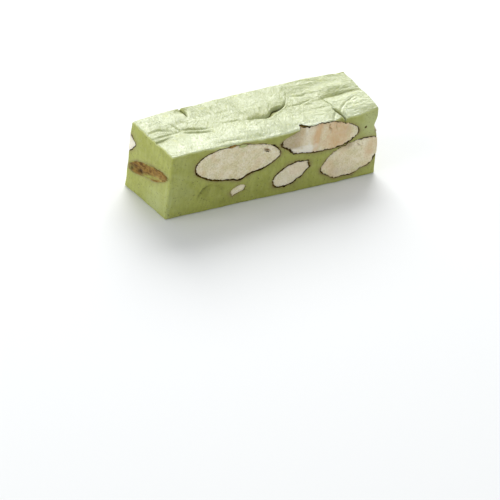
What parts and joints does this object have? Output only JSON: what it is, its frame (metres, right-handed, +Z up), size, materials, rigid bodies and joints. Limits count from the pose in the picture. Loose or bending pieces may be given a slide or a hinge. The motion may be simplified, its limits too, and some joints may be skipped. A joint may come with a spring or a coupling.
{
  "type": "nougat bar",
  "caption": "Rectangular bar of soft green nougat, creased on top and knife-cut on its four sides, with cut almonds set flush in the sides.",
  "frame": {"origin": "middle of the bounding box's underside, on the surface the bar lies on", "axes": "+X along the bar, -Y the long cut side with the large almonds, +Z up, out of the creased top"},
  "size_m": [0.0638, 0.0194, 0.0205],
  "materials": {
    "nougat": "matte",
    "almond_kernel": "matte",
    "almond_skin": "matte"
  },
  "bodies": {
    "root": {"nougat": "nougat", "almond_front_1": "almond_kernel", "almond_front_2": "almond_kernel", "almond_front_3": "almond_kernel", "almond_front_4": "almond_kernel", "almond_front_5": "almond_kernel", "almond_left_1": "almond_skin", "almond_left_2": "almond_kernel", "almond_right_1": "almond_kernel", "almond_right_2": "almond_kernel", "almond_back_1": "almond_kernel", "almond_back_2": "almond_kernel", "almond_back_3": "almond_kernel", "almond_back_4": "almond_kernel"}
  },
  "joints": []
}
